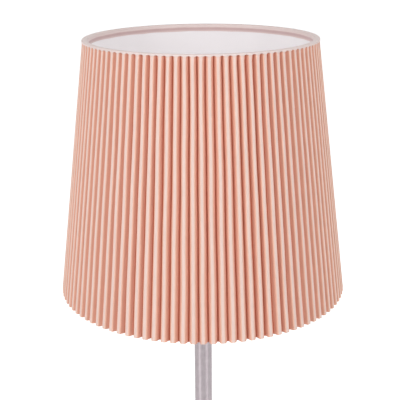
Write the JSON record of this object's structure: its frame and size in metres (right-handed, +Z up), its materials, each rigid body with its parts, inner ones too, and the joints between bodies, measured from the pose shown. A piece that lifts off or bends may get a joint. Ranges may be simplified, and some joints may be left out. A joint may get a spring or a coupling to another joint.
{
  "type": "candle lamp with shade",
  "caption": "Free-standing spring-fed candle lamp: weighted foot, slim steel tube, sliding clamped collar and a tapered pink pleated shade that lifts off.",
  "frame": {"origin": "centre of the foot's underside, on the tube's axis", "axes": "+Z up along the tube and the shade's axis; the clamp knob is on +Y, the back in the picture's view"},
  "size_m": [0.25, 0.25, 0.458],
  "materials": {
    "felt": "pressed felt",
    "cast_iron": "as cast",
    "satin_steel": "satin brushed round the tube",
    "zinc_steel": "zinc plated",
    "spring_steel": "drawn wire",
    "brass": "turned",
    "wax": "satin wax",
    "cotton": "braided cotton",
    "black_plastic": "moulded",
    "white_enamel": "powder coated",
    "lining": "matt styrene sheet",
    "pink_cloth": "pleated crepe cloth",
    "pink_tape": "smooth bias tape"
  },
  "bodies": {
    "stand": {"foot_pad": "felt", "foot_weight": "cast_iron", "foot_cover": "satin_steel", "foot_washer": "zinc_steel", "foot_bolt": "zinc_steel", "stem_tube": "satin_steel", "tube_plug": "zinc_steel", "stem_ferrule": "satin_steel", "feed_spring": "spring_steel"},
    "carrier": {"carrier_collar": "satin_steel", "shade_gallery": "satin_steel"},
    "clamp": {"clamp_screw": "zinc_steel", "clamp_knob": "black_plastic"},
    "seat": {"seat_washer": "felt"},
    "shade": {"fitter_ring": "white_enamel", "fitter_arms": "white_enamel", "bottom_ring": "white_enamel", "top_ring": "white_enamel", "shade_lining": "lining", "seam_tape": "lining", "pleated_cover": "pink_cloth", "top_binding": "pink_tape", "bottom_binding": "pink_tape"},
    "candle": {"spring_follower": "brass", "candle": "wax", "wick": "cotton"},
    "cap": {"burner_cap": "satin_steel", "drip_dish": "satin_steel"}
  },
  "joints": [
    {"name": "carrier_height", "type": "slide", "parent": "stand", "child": "carrier", "axis": [0, 0, 1], "range_m": [-0.06, 0.015]},
    {"name": "clamp_turn", "type": "hinge", "parent": "carrier", "child": "clamp", "pos_m": [0, 0.02, 0.2788], "axis": [0, 1, 0], "range_deg": [-180, 180]},
    {"name": "shade_turn", "type": "hinge", "parent": "carrier", "child": "seat", "pos_m": [0, 0, 0.2918], "axis": [0, 0, 1], "continuous": true},
    {"name": "shade_lift", "type": "slide", "parent": "seat", "child": "shade", "axis": [0, 0, 1], "range_m": [0, 0.22]},
    {"name": "candle_feed", "type": "slide", "parent": "stand", "child": "candle", "axis": [0, 0, 1], "range_m": [0, 0.17], "deforming": ["feed_spring"]},
    {"name": "cap_lift", "type": "slide", "parent": "stand", "child": "cap", "axis": [0, 0, 1], "range_m": [0, 0.17]}
  ],
  "couplings": [
    {"joint": "cap_lift", "follows": "candle_feed", "ratio": 1}
  ]
}
